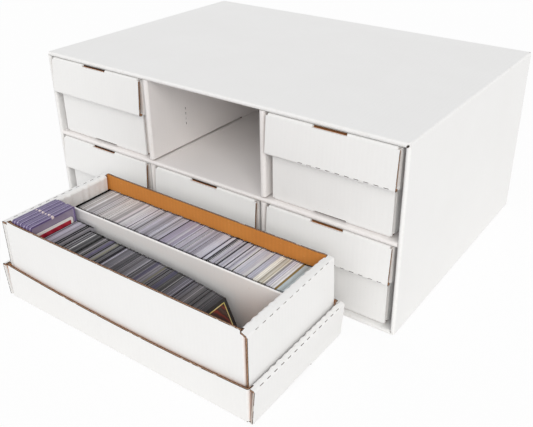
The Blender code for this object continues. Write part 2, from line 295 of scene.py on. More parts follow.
filmSpec = {
    "smear": (1, 3, 0.6, (900, 60, 60)),
    "smearTint": 0.36,
    "smearDepth": 0.0001,
    "glint": (1, 2, 0.5, (2600, 130, 130)),
    "glintTint": 0.2,
    "darkest": 0.72,
    "cardRoughness": 0.55,
    "coat": 0.25,
    "coatRoughness": 0.2,
}


def sleeveFilm(name, gloss, spec=filmSpec):
    # Card tops in clear sleeves: each face has its own tint, whose alpha says where the film is
    finish = Finish(name)
    film = finish.attribute("cardTint", "Alpha")
    tint = finish.attribute("cardTint", "Color")
    smear = finish.noise(*spec["smear"])
    glint = finish.noise(*spec["glint"])
    colour = finish.tinted(tint, spec["darkest"] + smear * spec["smearTint"] + glint * spec["glintTint"])
    coat = {"Coat Weight": film * spec["coat"], "Coat Roughness": spec["coatRoughness"]}
    return finish.shade(colour, spec["cardRoughness"] - film * gloss, smear * spec["smearDepth"], coat)


plasticSpec = {
    "scuff": (130, 4, 0.7),
    "cloud": (40, 2),
    "tints": (0.88, 0.24),
    "roughness": (0.12, 0.16),
    "scuffDepth": 0.00003,
    "others": {"Coat Weight": 0.4, "Coat Roughness": 0.08, "IOR": 1.49},
}


def tintedPlastic(name, colour, edgeColour, share, spec=plasticSpec):
    finish = Finish(name)
    scuff = finish.noise(*spec["scuff"])
    cloud = finish.noise(*spec["cloud"])
    darkest, tintSpread = spec["tints"]
    smoothest, roughSpread = spec["roughness"]
    colour = finish.tinted(finish.mix(cloud * share, colour, edgeColour), darkest + scuff * tintSpread)
    return finish.shade(colour, smoothest + scuff * roughSpread, scuff * spec["scuffDepth"], spec["others"])


printSpec = {
    "drift": (3, 0.55),           # detail and roughness of the noise
    "driftShare": 1 / 6,          # its scale beside the bands'
    "slant": 1.4,
    "bend": 7,
    "bandShare": 0.6,
    "screen": (2400, 1),
    "tints": (0.94, 0.12),
    "roughness": (0.3, 0.1),
    "screenDepth": 0.00001,
    "others": {"Coat Weight": 0.3, "Coat Roughness": 0.15},
}


def printedCard(name, colours, scale, spec=printSpec):
    # A generic print: soft slanted bands between two or three inks, with a fine print screen
    finish = Finish(name)
    y, z = finish.parts(finish.where)[1:]
    drift = finish.noise(scale * spec["driftShare"], *spec["drift"])
    band = ((y * spec["slant"] + z) * scale + drift * spec["bend"]).sine() * 0.5 + 0.5
    ink = band * spec["bandShare"] + drift * (1 - spec["bandShare"])
    colour = finish.add("ShaderNodeValToRGB", {"stops": colours}, {0: ink})
    screen = finish.noise(*spec["screen"])
    darkest, tintSpread = spec["tints"]
    smoothest, roughSpread = spec["roughness"]
    colour = finish.tinted(colour, darkest + screen * tintSpread)
    return finish.shade(colour, smoothest + drift * roughSpread, screen * spec["screenDepth"], spec["others"])


# A whiter paper for the row divider: painted light, standing in for more light on its face
paintedLightPaper = {"paper": (0.955, 0.950, 0.940, 1), "shaded": (0.93, 0.925, 0.915, 1)}
# A warmer, darker paper for the uprights and shelf: painted shade with a painted warm reflection of the kraft
# in the bays
paintedWarmShadePaper = {"paper": (0.885, 0.857, 0.846, 1), "shaded": (0.845, 0.810, 0.797, 1)}
boardSkins = [whiteBoard("whiteBoard", whiteBoardSpec), kraftLiner(kraftSpec), rawEdge(rawEdgeSpec)]
whiteSide, kraftSide, cutEdge = range(3)       # the slots of boardSkins
dividerBoard = whiteBoard("dividerBoard", {**whiteBoardSpec, **paintedLightPaper})
partitionBoard = whiteBoard("partitionBoard", {**whiteBoardSpec, **paintedWarmShadePaper})
print("finishes of the board made")

boardSpec = {
    "thickness": 0.003,
    "layerGap": 0.0003,        # air between two folded layers
    "foldSlack": 0.0001,
    "foldSteps": 6,
    "seatGap": 0.0003,
    "flapGap": 0.0004,
    "facetAngles": (math.radians(3), math.radians(40)),      # between a fold's facet and the next
    "facetWidth": 0.7,         # of the fold's radius, at most
    "edgeAngle": math.radians(32),       # sharper edges than this stay sharp
}
board = boardSpec["thickness"]
layerGap = boardSpec["layerGap"]
seatGap = boardSpec["seatGap"]
foldSteps = boardSpec["foldSteps"]
foldRadius = board + boardSpec["foldSlack"]
doubleBoard = 2 * board + layerGap


def withFolds(points, radius):
    # The same flat path with each inner corner turned into an arc
    path = [Vector(points[0])]
    for before, corner, after in zip(points, points[1:], points[2:]):
        corner = Vector(corner)
        into = (corner - Vector(before)).normalized()
        onward = (Vector(after) - corner).normalized()
        side = 1 if into.x * onward.y > into.y * onward.x else -1
        turn = into.angle(onward)
        start = corner - into * radius * math.tan(turn / 2)
        toCentre = Vector((-into.y, into.x)) * side * radius
        for step in range(foldSteps + 1):
            spoke = Matrix.Rotation(side * turn * step / foldSteps, 2) @ -toCentre
            path.append(start + toCentre + spoke)
    path.append(Vector(points[-1]))
    return path


def between(low, high, share):
    return low + (high - low) * share


def added(name, data):
    # A new object in the scene
    thing = bpy.data.objects.new(name, data)
    bpy.context.scene.collection.objects.link(thing)
    return thing


def meshOf(mesh, name, materials=()):
    data = bpy.data.meshes.new(name)
    mesh.to_mesh(data)
    mesh.free()
    for material in materials:
        data.materials.append(material)
    return data


class Sheet:
    # The white side of one folded board, as faces that meet at shared corners
    def __init__(self):
        self.mesh = bmesh.new()
        self.tucked = self.mesh.faces.layers.float.new("tucked")

    def face(self, points, tucked=0):
        # 1 where the board's back lies in the dark of a slot; there its kraft gets a painted shade
        face = self.mesh.faces.new([self.mesh.verts.new(point) for point in points])
        face[self.tucked] = tucked

    def grid(self, rows, isCut=None, tucked=0):
        # rows of points; isCut(row, column) leaves a cell open
        for row, (near, far) in enumerate(zip(rows, rows[1:])):
            for column in range(len(near) - 1):
                if not (isCut and isCut(row, column)):
                    self.face([near[column], near[column + 1], far[column + 1], far[column]], tucked)

    def markFolds(self):
        # A fold's narrow facets bend along both long sides
        layer = self.mesh.faces.layers.float.new("fold")
        least, most = boardSpec["facetAngles"]
        widest = boardSpec["facetWidth"] * foldRadius
        for face in self.mesh.faces:
            longest = max(edge.calc_length() for edge in face.edges)
            angles = [edge.calc_face_angle(0) for edge in face.edges if len(edge.link_faces) == 2]
            bends = sum(least < angle < most for angle in angles)
            if bends > 1 and face.calc_area() / longest < widest:
                face[layer] = 1

    def finished(self, name, nearPoint, outward):
        # One closed skin; its face nearest nearPoint looks along outward
        bmesh.ops.remove_doubles(self.mesh, verts=self.mesh.verts, dist=layerGap / 10)
        bmesh.ops.recalc_face_normals(self.mesh, faces=self.mesh.faces)
        aim = Vector(nearPoint)
        nearest = min(self.mesh.faces, key=lambda face: (face.calc_center_median() - aim).length)
        if nearest.normal.dot(Vector(outward)) < 0:
            bmesh.ops.reverse_faces(self.mesh, faces=self.mesh.faces)
        self.markFolds()
        return meshOf(self.mesh, name)


def thickened(data, thickness):
    # The skin made into board: white outside, kraft inside, a raw edge all round
    outerCount = len(data.vertices)
    holder = added(data.name, data)
    for skin in boardSkins:
        data.materials.append(skin)
    solidify = holder.modifiers.new("board", "SOLIDIFY")
    solidify.thickness = thickness
    solidify.offset = -1
    solidify.use_even_offset = True
    solidify.material_offset = kraftSide
    solidify.material_offset_rim = cutEdge
    bpy.context.view_layer.update()
    solid = bpy.data.meshes.new_from_object(holder.evaluated_get(bpy.context.evaluated_depsgraph_get()))
    bpy.data.objects.remove(holder)
    bpy.data.meshes.remove(data)
    mapEdges(solid, outerCount)
    smoothed(solid)
    return solid


def mapEdges(solid, outerCount):
    # edgeMap runs along a raw edge in metres, and from the white side (0) to the kraft side (1)
    layer = solid.uv_layers.new(name="edgeMap")
    for face in solid.polygons:
        outer = [solid.vertices[index].co for index in face.vertices if index < outerCount]
        if face.material_index != cutEdge or len(outer) != 2:
            continue
        run = (outer[1] - outer[0]).normalized()
        if max(run, key=abs) < 0:
            run.negate()
        for loop in face.loop_indices:
            index = solid.loops[loop].vertex_index
            layer.data[loop].uv = (solid.vertices[index].co.dot(run), float(index >= outerCount))


def smoothed(data, angle=boardSpec["edgeAngle"]):
    data.shade_smooth()
    data.set_sharp_from_angle(angle=angle)


def placed(data, name, node, body, place=(0, 0, 0), turn=(0, 0, 0)):
    # A finished piece in its place, riding on its body instead of its CAD node
    piece = added(name, data)
    piece.location = place
    piece.rotation_euler = turn
    weighted = piece.modifiers.new("flatPanels", "WEIGHTED_NORMAL")
    weighted.keep_sharp = True
    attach(piece, body)
    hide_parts(node)
    return piece


def endOutline(spec):
    # Corners of a roll-over end wall: the panel outside, the sloping strip and the panel inside
    half = spec["length"] / 2
    return {
        "foot": Vector((half, 0)),
        "outer": Vector((half + spec["flare"], spec["height"] - spec["stripRise"])),
        "inner": Vector((half + spec["flare"] - spec["stripWidth"], spec["height"])),
        "seat": Vector((half - doubleBoard, board + seatGap)),
    }


def flapPlace(spec):
    # The X of the flaps behind the outer end panels, and the Y where the inner end panels end
    return (spec["length"] / 2 - board - spec["cornerGap"],
            spec["width"] / 2 - 2 * (board + boardSpec["flapGap"]))


rippleSpec = {
    "share": 0.6,             # of the wave with the box's own pitch
    "phase": 0.7,
    "secondPace": 410,        # radians in a metre
    "secondPhase": 1.9,
    "fade": 6,                # a higher power keeps the wave up nearer to the corners
}


def ripple(spec, y, reach):
    # The crushed flutes make the rolled edge wavy
    share = rippleSpec["share"]
    wave = share * math.sin(2 * math.pi * y / spec["ripplePitch"] + rippleSpec["phase"])
    wave += (1 - share) * math.sin(rippleSpec["secondPace"] * y + rippleSpec["secondPhase"])
    return spec["ripple"] * (0.5 + 0.5 * wave) * (1 - (y / reach) ** rippleSpec["fade"])


def filledIn(places, gap):
    # The same places in order, with more between them where they lie further apart than gap
    filled = []
    for low, high in zip(places, places[1:]):
        count = max(1, math.ceil((high - low) / gap))
        filled += [between(low, high, step / count) for step in range(count)]
    return filled + [places[-1]]


def rollEndBox(name, spec):
    # A tray or a lid, standing on its base, with its length along X
    sheet = Sheet()
    halfWidth = spec["width"] / 2
    corner = endOutline(spec)
    seat = corner["seat"]
    path = withFolds([(0, 0), *corner.values()], foldRadius)[1:]
    arc = foldSteps + 1
    fold, outerArc, innerArc = path[:arc], path[arc:2 * arc], path[2 * arc:3 * arc]
    slotTop = fold[-1].lerp(outerArc[0], (spec["slotHeight"] - fold[-1].y) / (outerArc[0].y - fold[-1].y))
    dashBand = [outerArc[-1].lerp(innerArc[0], share) for share in spec["dashBand"]]
    rows = fold + [slotTop] + outerArc + dashBand + innerArc + [seat]
    flapX, panelHalf = flapPlace(spec)
    baseHalf = halfWidth - foldRadius
    tabHalf = spec["tabWidth"] / 2
    slotHalf = tabHalf + spec["tabPlay"]
    dashHalf = spec["dashLength"] / 2
    dashMiddles = [spec["dashShift"] + (index - (spec["dashes"] - 1) / 2) * spec["dashPitch"]
                   for index in range(spec["dashes"])]
    reaches = (halfWidth, baseHalf, panelHalf, tabHalf, slotHalf)
    columns = [side * reach for reach in reaches for side in (-1, 1)]
    columns += [middle + side * dashHalf for middle in dashMiddles for side in (-1, 1)]
    columns = filledIn(sorted(columns), spec["columnGap"])
    middles = [(left + right) / 2 for left, right in zip(columns, columns[1:])]
    inDash = [any(abs(y - middle) < dashHalf for middle in dashMiddles) for y in middles]
    stripRow = 2 * arc + 2

    baseEnd = fold[0].x
    slotStart = seat.x - spec["slotPlay"]
    wallEnd = flapX - foldRadius
    baseY = [y for y in columns if abs(y) <= baseHalf]
    baseX = sorted(side * x for x in (baseEnd, slotStart, wallEnd) for side in (-1, 1))
    slotEdge = baseX.index(slotStart)
    baseRows = range(len(baseX) - 1 - slotEdge, slotEdge)
    sheet.grid([[(x, y, 0) for y in baseY] for x in baseX],
               lambda row, column: row not in baseRows and abs(sum(baseY[column:column + 2])) / 2 < slotHalf)
    for side in (-1, 1):
        wallFold = withFolds([(0, 0), (halfWidth, 0), (halfWidth, spec["height"])], foldRadius)[1:-1]
        ends = [x for x in baseX if abs(x) <= wallEnd]
        sheet.grid([[(x, side * point.x, point.y) for point in wallFold] for x in ends])
        addSideWall(sheet, spec, side, halfWidth, panelHalf, wallFold[-1].y, flapX, innerArc[0], ends)

    def isCut(row, column):
        y = abs(middles[column])
        return (row <= foldSteps and y < slotHalf) or (row < foldSteps and y > baseHalf) \
            or (row > stripRow and y > panelHalf)

    for end, facet in zip((-1, 1), spec["dashFacets"]):
        dashRow = arc + 1 + facet
        bent = []
        for index, point in enumerate(rows):
            wavy = stripRow < index < len(rows) - 1
            bent.append([(end * (point.x + (ripple(spec, y, halfWidth) if wavy else 0)), y, point.y)
                         for y in columns])
        sheet.grid(bent, lambda row, column: isCut(row, column) or (row == dashRow and inDash[column]))
        tongue = [y for y in columns if abs(y) <= tabHalf]
        # the tongue in its slot gets the painted slot shade
        sheet.grid([[(end * seat.x, y, z) for y in tongue] for z in (seat.y, seatGap)], tucked=spec["tucked"])
    return thickened(sheet.finished(name, (0, 0, 0), (0, 0, -1)), board)


def addSideWall(sheet, spec, side, halfWidth, panelHalf, foot, flapX, stripStart, feet):
    # A long wall, and the short flaps that its ends turn in behind the outer end panels
    height = spec["height"]
    wallEnd = flapX - foldRadius
    normal = Vector((spec["stripRise"], spec["stripWidth"])).normalized()
    under = stripStart - normal * (board + layerGap)
    isTucked = under.x - layerGap < flapX

    def droop(x):
        left, middle, right = spec["droop"] if side < 0 else (0, 0, 0)
        share = x / wallEnd
        return (left * (share - 1) + right * (share + 1)) * share / 2 + middle * (1 - share * share)

    def top(x):
        fall = spec["stripRise"] / spec["stripWidth"] * (max(abs(x), under.x) - under.x)
        return (under.y - fall if isTucked else height) - droop(x)

    flapFoot = board + seatGap
    rimEnd = under.x - layerGap if isTucked else wallEnd
    rim = [rimEnd * (1 - 2 * step / spec["rimSteps"]) for step in range(spec["rimSteps"] + 1)]
    upper = [(x, height - droop(x)) for x in rim]
    if isTucked:
        ends = (wallEnd, rimEnd, -rimEnd, -wallEnd)
        right, left = [[(x, top(x)) for x in pair] for pair in (ends[:2], ends[2:])]
        upper = right + upper + left
    inner = [(x, foot) for x in feet if abs(x) < wallEnd]
    wall = [(wallEnd, foot), (wallEnd, flapFoot), *upper, (-wallEnd, flapFoot), (-wallEnd, foot), *inner]
    sheet.face([(x, side * halfWidth, z) for x, z in wall])

    bend = withFolds([(0, halfWidth), (flapX, halfWidth), (flapX, panelHalf + boardSpec["flapGap"])],
                     foldRadius)[1:]
    for end in (-1, 1):
        sheet.grid([[(end * point.x, side * point.y, z) for z in (flapFoot, top(end * point.x))]
                    for point in bend])


def settled(data, spec):
    # The filled tray's rim has sunk unevenly, and each end wall's outer crease has its own drop
    crease = spec["length"] / 2 - spec["stripWidth"]
    for vertex in data.vertices:
        x, y, z = vertex.co
        far = 0.5 + y / spec["width"]
        left, right = [between(*corners, far) for corners in (spec["leftSag"], spec["rightSag"])]
        outer = between(*(spec["rightCrease"] if x > 0 else spec["leftCrease"]), far)
        share = min(max((abs(x) - crease) / spec["stripWidth"], 0), 1)
        sag = between(left, right, 0.5 + x / spec["length"])
        vertex.co.z -= z / spec["height"] * (sag + outer * share)
        lean = between(*spec["rightLean"], far) * min(max((x - crease) / spec["leanReach"] + 1, 0), 1)
        vertex.co.x -= z / spec["height"] * lean


def whitened(data, isWhite):
    # White paper over the raw edges whose places pass the test
    for face in data.polygons:
        if face.material_index == cutEdge and isWhite(face.center):
            face.material_index = whiteSide


def settledEnds(data, spec):
    # At the left end the flaps lie close to the outer panel and the upright cuts are pressed shut; how far
    # the right end's cuts are pressed is rightCrush
    crushed = data.attributes.new("crushed", "FLOAT", "FACE")
    flapX, panelHalf = flapPlace(spec)
    for vertex in data.vertices:
        share = (-vertex.co.x - flapX) / foldRadius + 1
        if 0 < share < spec["pressedReach"] and abs(vertex.co.y) > panelHalf:
            vertex.co.x -= min(share, 1) * (spec["cornerGap"] - layerGap)
    top = spec["height"] - 2 * board
    for face in data.polygons:
        x, y, z = face.center
        if z < top and abs(y) > spec["width"] / 2 - foldRadius and abs(x) > flapX:
            if face.material_index == cutEdge:
                crushed.data[face.index].value = 1 if x < 0 else spec["rightCrush"]
            elif x < 0:
                face.material_index = whiteSide


rollEndSpec = {
    "tabWidth": 0.047,
    "tabPlay": 0.0014,
    "slotPlay": 0.0005,
    "slotHeight": 0.0033,
    "dashPitch": 0.0133,
    "dashBand": (0.36, 0.52),    # of the way across the sloping strip
    "columnGap": 0.0022,
    "tucked": 1,                 # how dark the painted shade on the tabs in their slots is
    "rimSteps": 24,
    "pressedReach": 1.5,         # in fold radii, from where the flap's bend starts
}
traySpec = {
    **rollEndSpec,
    "leftSag": (0.0015, 0.0022),        # near and far corner
    "rightSag": (0, 0.0040),
    "leftCrease": (-0.0040, -0.0040),   # outer crease against the inner one, beyond the strip's slope
    "rightCrease": (0.0010, -0.0042),
    "rightLean": (0, 0.0036),
    "leanReach": 0.03,
    "rightCrush": 0,
    "stripWidth": 0.013,
    "stripRise": 0.0046,
    "flare": 0,
    "dashes": 12,
    "dashLength": 0.0060,
    "dashShift": 0.0012,
    # the facet of the outer crease that the dashes are cut in, at the left and right end; foldSteps + 1
    # is the band across the strip
    "dashFacets": (foldSteps + 1, 3),
    "ripple": -0.0017,
    "ripplePitch": 0.0107,
    "cornerGap": 0.0024,      # between an outer end panel and the flap behind it
    "droop": (0, 0.0006, 0),  # of the near long wall's rim: at its left end, middle and right end
}
lidSpec = {
    **rollEndSpec,
    "rightCrush": 0.5,
    "stripWidth": 0.0098,
    "stripRise": 0.001,
    "flare": 0.0045,
    "dashes": 13,
    "dashLength": 0.0061,
    "dashShift": -0.001,
    "dashFacets": (3, 3),
    "ripple": 0.0015,
    "ripplePitch": 0.0121,
    "cornerGap": 0.0018,
    "droop": (0.0014, 0.0092, 0.0040),
}
stowedLidSpec = {
    "extraHeight": 0.0034,    # the stowed lids reach a little further up and down than the open one
    "lift": 0.0028,
    "dashes": 10,
    "dashPitch": 0.0136,
    "dashLength": 0.0068,
    "dashShift": 0.022,
    "dashFacets": (0, 0),
    "cornerGap": 0.0038,
    "droop": (0, 0, 0),
}
# the dashed lids' tabs get a slightly lighter painted slot shade
dashedLidSpec = {"tucked": 0.86}
creasedLidSpec = {"dashes": 0}
stowedBoxes = ["upper_left", "upper_right", "lower_left", "lower_centre", "lower_right"]
dashedBoxes = ["upper_right", "lower_right"]       # the other stowed lids are creased without cuts


def makeBoxes():
    trayLow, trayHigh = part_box("open_tray")
    lidLow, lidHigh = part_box("open_lid")
    for spec, low, high in ((traySpec, trayLow, trayHigh), (lidSpec, lidLow, lidHigh)):
        spec["length"] = high.x - low.x - 2 * spec["flare"]
        spec["width"] = high.y - low.y
        spec["height"] = high.z - low.z
    tray = rollEndBox("tray", traySpec)
    lid = rollEndBox("lid", lidSpec)
    stowed = {**lidSpec, **stowedLidSpec, "height": lidSpec["height"] + stowedLidSpec["extraHeight"]}
    dashedLid = rollEndBox("dashedLid", {**stowed, **dashedLidSpec})
    creasedLid = rollEndBox("creasedLid", {**stowed, **creasedLidSpec})
    for stowedLid in (dashedLid, creasedLid):
        whitened(stowedLid, lambda place: place.z < 2 * board)
    middle = (trayLow + trayHigh) / 2
    openTray = tray.copy()
    settled(openTray, traySpec)
    settledEnds(openTray, traySpec)
    settledEnds(lid, lidSpec)
    whitened(tray, lambda place: abs(place.x) > traySpec["length"] / 2 - doubleBoard)
    placed(openTray, "openTray", "open_tray", "filled_tray", (middle.x, middle.y, trayLow.z))
    placed(lid, "upturnedLid", "open_lid", "upturned_lid", (middle.x, middle.y, lidLow.z))
    for box in stowedBoxes:
        low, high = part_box(box + "_tray")
        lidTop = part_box(box + "_lid")[1].z + stowedLidSpec["lift"]
        x, y = (low.x + high.x) / 2, (low.y + high.y) / 2
        stowedLid = dashedLid if box in dashedBoxes else creasedLid
        for data, kind, z, roll in ((tray, "tray", low.z, 0), (stowedLid, "lid", lidTop, math.pi)):
            placed(data, box + kind.title(), f"{box}_{kind}", box + "_box",
                   (x, y, z), (roll, 0, math.pi / 2))


dividerSpec = {
    "layerGap": 0.0001,
    "foldPlay": 0.00001,
}


def makeRowDivider():
    # Two layers with a rounded fold on top
    low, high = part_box("open_row_divider")
    middle = (low + high) / 2
    half = (high.y - low.y) / 2
    layer = half - dividerSpec["layerGap"]
    section = withFolds([(-half, low.z), (-half, high.z), (half, high.z), (half, low.z)],
                        half - dividerSpec["foldPlay"])
    sheet = Sheet()
    # the tray's inner end panels lean in
    endSlope = (traySpec["stripWidth"] - doubleBoard) / (traySpec["height"] - board - seatGap)
    rows = []
    for point in section:
        reach = (high.x - low.x) / 2 - endSlope * (point.y - low.z)
        rows.append([(middle.x + side * reach, middle.y + point.x, point.y) for side in (-1, 1)])
    sheet.grid(rows)
    data = thickened(sheet.finished("rowDivider", (middle.x, low.y, middle.z), (0, -1, 0)), layer)
    data.materials[0] = dividerBoard
    placed(data, "rowDivider", "open_row_divider", "filled_tray")


def repaintHiddenDividers():
    for box in stowedBoxes:
        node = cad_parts[box + "_row_divider"]
        if not node.material_slots:
            node.data.materials.append(None)
        node.material_slots[0].link = "OBJECT"
        node.material_slots[0].material = boardSkins[0]


makeBoxes()
makeRowDivider()
repaintHiddenDividers()
print("boxes folded")

houseSpec = {
    "cornerNotch": 0.0036,      # bare stretch beside each corner
    "sideFlapLength": 0.150,
    "seamGap": 0.0006,
    "lapPlay": 0.0003,
    "footGap": 0.0024,          # the uprights stand this far above the shelf
    "lapShare": 0.5,
    "perforationInset": 0.0775,
    "perforationWidth": 0.0009,
    "perforationLow": 0.175,
    "perforationHigh": 0.204,
    "perforations": 4,
    "frontReach": 3,            # in fold radii: the raw edges this near to the front are white
}
houseLow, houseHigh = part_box("house_shell")
halfHouseWidth = (houseHigh.x - houseLow.x) / 2
houseHeight = houseHigh.z
houseFront, houseBack = houseLow.y, houseHigh.y
hemEnd = houseBack - doubleBoard - seatGap
lapY = between(houseFront, hemEnd, houseSpec["lapShare"])


def panelSpot(panel, along, y, depth):
    # A point of one house panel: along it from its middle, and inwards from its outer face
    if panel == "top":
        return (along, y, houseHeight - depth)
    if panel == "bottom":
        return (along, y, depth)
    x = halfHouseWidth - depth
    return (x if panel == "right" else -x, y, houseHeight / 2 + along)


def isAtFront(place):
    return place.y < houseFront + houseSpec["frontReach"] * foldRadius


def makeHouse(spec):
    # One sleeve with a rolled hem on each front edge and four flaps closing the back
    sheet = Sheet()
    sideFoldStart = houseBack - board - layerGap - foldRadius
    longFoldStart = houseBack - foldRadius
    frontStart = houseFront + foldRadius
    halfHeight = houseHeight / 2
    innerNotch = doubleBoard + seatGap
    halves = {"top": halfHouseWidth, "bottom": halfHouseWidth, "left": halfHeight, "right": halfHeight}
    hem = withFolds([(hemEnd, 0), (houseFront, 0), (houseFront, doubleBoard), (hemEnd, doubleBoard)],
                    foldRadius)[1:]
    for panel, half in halves.items():
        flat = half - foldRadius
        cut = half - spec["cornerNotch"]
        columns = [-flat, -cut, cut, flat]
        isLong = panel in ("top", "bottom")
        depths = [frontStart, sideFoldStart] + ([longFoldStart] if isLong else [])
        sheet.grid([[panelSpot(panel, along, y, 0) for along in columns] for y in depths])
        rows = []
        for point in hem:
            reach = between(cut, half - innerNotch, min(point.y / doubleBoard, 1))
            rows.append([panelSpot(panel, side * reach, point.x, point.y) for side in (-1, 1)])
        sheet.grid(rows)
        flapFace, flapEnd = sideFoldStart + foldRadius, spec["sideFlapLength"]
        if isLong:
            flapFace, flapEnd = houseBack, halfHeight - spec["seamGap"] / 2
        back = withFolds([(frontStart, 0), (flapFace, 0), (flapFace, flapEnd)], foldRadius)[1:]
        across = columns if isLong else columns[1:3]
        sheet.grid([[panelSpot(panel, along, point.x, point.y) for along in across] for point in back])
    for side in (-1, 1):
        for edge in (0, houseHeight):
            lift = foldRadius if edge == 0 else -foldRadius
            outer = side * halfHouseWidth
            bend = withFolds([(0, edge), (outer, edge), (outer, edge + 2 * lift)], foldRadius)[1:-1]
            sheet.grid([[(point.x, y, point.y) for point in bend] for y in (frontStart, sideFoldStart)])
    data = thickened(sheet.finished("houseShell", (0, 0, 0), (0, 0, -1)), board)
    whitened(data, isAtFront)
    placed(data, "houseShell", "house_shell", "house")


def placePartition(sheet, name, node, nearPoint, outward):
    data = thickened(sheet.finished(name, nearPoint, outward), board)
    data.materials[0] = partitionBoard
    whitened(data, isAtFront)
    placed(data, name, node, "house")


def makeUpright(node, name, spec, perforated):
    # A board folded round its front edge, slotted from the front for the shelf
    low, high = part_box(node)
    shelfLow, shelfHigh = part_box("shelf")
    middle = (low.x + high.x) / 2
    half = (high.x - low.x) / 2
    slotEnd = lapY + spec["lapPlay"]
    plan = withFolds([(middle - half, slotEnd), (middle - half, low.y), (middle + half, low.y),
                      (middle + half, slotEnd)], half - boardSpec["foldSlack"])
    plan = [Vector((middle - half, hemEnd)), *plan, Vector((middle + half, hemEnd))]
    slotLevels = [shelfLow.z - spec["lapPlay"], shelfHigh.z + spec["footGap"]]
    levels = [low.z, *slotLevels, high.z]
    slits = []
    slitRow = None
    if perforated:
        pitch = (spec["perforationHigh"] - spec["perforationLow"]) / (2 * spec["perforations"] - 1)
        starts = [spec["perforationLow"] + 2 * pitch * index for index in range(spec["perforations"])]
        slits = [(start, start + pitch) for start in starts]
        levels = sorted(levels + [level for slit in slits for level in slit])
        inset = houseFront + spec["perforationInset"]
        plan[-2:-2] = [Vector((middle + half, y)) for y in (inset, inset + spec["perforationWidth"])]
        slitRow = len(plan) - 4

    def isCut(row, column):
        level = (levels[column] + levels[column + 1]) / 2
        inLap = 0 < row < len(plan) - 2 and slotLevels[0] < level < slotLevels[1]
        return inLap or (row == slitRow and any(start < level < end for start, end in slits))

    sheet = Sheet()
    sheet.grid([[(point.x, point.y, z) for z in levels] for point in plan], isCut)
    placePartition(sheet, name, node, (high.x, hemEnd, high.z), (1, 0, 0))


def makeShelf(spec):
    # A board folded round its front edge, slotted from the back for the uprights
    low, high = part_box("shelf")
    slots = [(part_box(node)[0].x - spec["lapPlay"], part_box(node)[1].x + spec["lapPlay"])
             for node in ("left_upright", "right_upright")]
    columns = [low.x, *(edge for slot in slots for edge in slot), high.x]
    slotStart = lapY - spec["lapPlay"]
    path = withFolds([(slotStart, high.z), (low.y, high.z), (low.y, low.z), (slotStart, low.z)], foldRadius)
    path = [Vector((hemEnd, high.z)), *path, Vector((hemEnd, low.z))]
    sheet = Sheet()
    sheet.grid([[(x, point.x, point.y) for x in columns] for point in path],
               lambda row, column: row in (0, len(path) - 2) and column in (1, 3))
    placePartition(sheet, "shelfBoard", "shelf", (0, houseFront, low.z), (0, -1, -1))


makeHouse(houseSpec)
makeUpright("left_upright", "leftUpright", houseSpec, True)
makeUpright("right_upright", "rightUpright", houseSpec, False)
makeShelf(houseSpec)
print("house folded")

sleeveSpec = {
    "film": 0.00011,        # thickness of one film
    "mouth": 0.0012,        # the card stands this far below the sleeve's open top
    "fill": 0.93,           # share of the pitch that a sleeved card takes
    "heightPlay": 0.0005,
    "sidePlay": 0.0006,
    "nearCorner": 0.0009,   # how far the empty film beside a card's rounded corner is painted dark, a painted shade of the gap it shows
    "farCorner": 0.0028,
    "cornerDrop": 0.002,
    "cornerShade": 0.06,
    "cardFace": 4,          # the card's top, in the order of the faces round a sleeve
    "mouthFaces": range(2, 7),
}
rowLight = {
    "shades": (0.80, 1.20),
    "channels": (0.98, 1.02),
    # a card painted this dark stands for a shadowed gap between cards: painted shade
    "gap": 0.12,
    "line": 2.2,
    "brightest": 0.92,
    "fromCard": 0.7,        # how much of its card's tone a film takes on
}
rowSpec = {
    "pitch": 0.00078,
    "lean": 0,
    "rise": 0,              # how much higher the row starts than it ends
    "endPlay": 0,
    "lineChance": 0.05,
}
# painted shadow in the narrow gaps between cards
gapShade = (0.055, 0.05, 0.06)
rearRowSpec = {
    **rowSpec,
    "seed": 11,
    "dip": 0.0012,
    "groupChance": 0.36,
    "levels": (0.44, 1.46),
    "gapChance": 0.075,
    "lineChance": 0.06,
    "endPlay": 0.003,
    "film": (0.84, 0.82, 0.89),
    # the first mark is a painted shadow in the gap at the row's left end; the near-black marks after it are
    # painted shadows of gaps between cards
    "marks": [(0, 0.011, (0.012, 0.012, 0.013)), (0.056, 0.060, (0.84, 0.84, 0.86)),
              *[(share, share + 0.004, gapShade)
                for share in (0.274, 0.427, 0.572, 0.622, 0.645, 0.690, 0.717, 0.755)],
              (0.431, 0.460, (0.60, 0.56, 0.68)), (0.475, 0.490, (0.55, 0.51, 0.63)),
              (0.815, 0.838, (0.74, 0.74, 0.82)), (0.838, 0.858, (1, 0.98, 0.93)),
              (0.858, 0.864, (0.62, 0.58, 0.49)), (0.864, 0.871, (0.95, 0.92, 0.85)),
              (0.871, 0.877, (0.68, 0.63, 0.53)), (0.877, 0.884, (0.92, 0.89, 0.82)),
              (0.884, 0.892, (0.58, 0.56, 0.58)), (0.892, 0.903, (0.90, 0.89, 0.96)),
              (0.903, 0.906, (0.40, 0.38, 0.41)), (0.906, 0.924, (1, 0.99, 1)),
              (0.924, 0.932, (0.56, 0.40, 0.15)), (0.932, 1, (0.80, 0.86, 0.88))],
    # from 0.815 on the marks give all the colours
    "tones": [(0, (0.46, 0.45, 0.42)), (0.045, (0.52, 0.50, 0.48)), (0.10, (0.68, 0.66, 0.69)),
              (0.14, (0.66, 0.62, 0.59)), (0.20, (0.66, 0.63, 0.61)), (0.24, (0.67, 0.65, 0.70)),
              (0.27, (0.64, 0.62, 0.66)), (0.36, (0.62, 0.61, 0.70)), (0.60, (0.63, 0.62, 0.72)),
              (0.78, (0.68, 0.68, 0.78)), (0.83, (0.90, 0.86, 0.77))],
}
